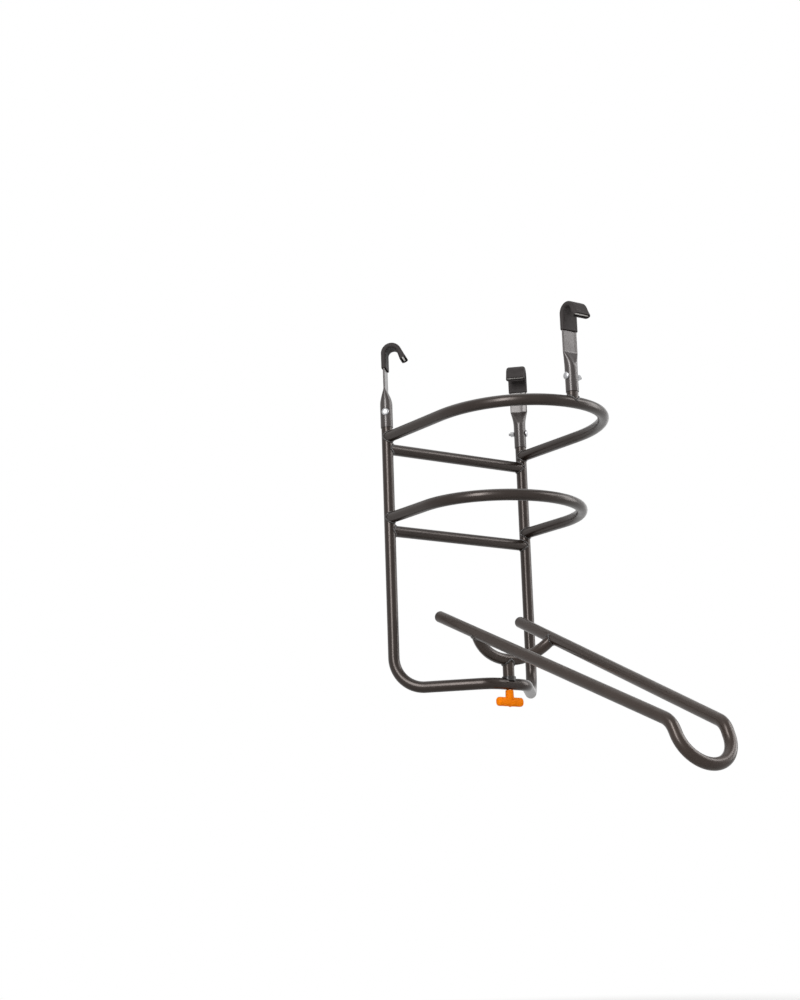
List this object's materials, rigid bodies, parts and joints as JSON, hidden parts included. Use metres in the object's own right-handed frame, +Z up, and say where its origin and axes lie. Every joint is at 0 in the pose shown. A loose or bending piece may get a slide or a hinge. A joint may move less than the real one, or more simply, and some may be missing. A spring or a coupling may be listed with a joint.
{
  "type": "basketball return",
  "caption": "Ball return that hangs under a basketball rim on hooks: the ball drops through tube hoops onto a swivelling rail chute, locked by a T knob below.",
  "frame": {"origin": "centre of the rim that the hooks hang on, in the middle plane of its round bar", "axes": "+Y towards the backboard, +X to the right as seen from the court, +Z up"},
  "size_m": [0.3928, 0.7925, 0.9676],
  "materials": {
    "powder_coat": "satin black powder coat with a brown tone",
    "arm_coat": "thin satin black coat, greyer on the pressed flats",
    "sleeve_vinyl": "matte dark grey soft sleeve",
    "zinc": "bright zinc plating",
    "saddle_steel": "satin black coat",
    "plug_plastic": "moulded black plastic",
    "knob_plastic": "moulded orange plastic"
  },
  "bodies": {
    "frame": {"u_frame": "powder_coat", "upper_hoop": "powder_coat", "lower_hoop": "powder_coat", "upper_crossbar": "powder_coat", "lower_crossbar": "powder_coat", "front_stub": "powder_coat", "hook_left": "arm_coat", "hook_right": "arm_coat", "hook_front": "arm_coat", "sleeve_left": "sleeve_vinyl", "sleeve_right": "sleeve_vinyl", "sleeve_front": "sleeve_vinyl", "bolt_left": "zinc", "bolt_right": "zinc", "bolt_front": "zinc", "nut_left": "zinc", "nut_right": "zinc", "nut_front": "zinc", "swivel_saddle": "saddle_steel"},
    "chute": {"chute_tube": "powder_coat", "end_plug_left": "plug_plastic", "end_plug_right": "plug_plastic", "cradle": "powder_coat", "stem": "powder_coat", "stem_insert": "saddle_steel"},
    "clamp": {"clamp_stud": "zinc"},
    "knob": {"t_knob": "knob_plastic"}
  },
  "joints": [
    {"name": "chute_swivel", "type": "hinge", "parent": "frame", "child": "chute", "pos_m": [0, 0.0285, -0.71], "axis": [0, 0, 1], "range_deg": [-87, 93]},
    {"name": "clamp_travel", "type": "slide", "parent": "frame", "child": "clamp", "axis": [0, 0, -1], "range_m": [0, 0.00126]},
    {"name": "knob_turn", "type": "hinge", "parent": "clamp", "child": "knob", "pos_m": [0, 0.0285, -0.7487], "axis": [0, 0, -1], "range_deg": [0, 360]}
  ],
  "couplings": [
    {"joint": "clamp_travel", "follows": "knob_turn", "m_per_rad": 0.00019894}
  ]
}
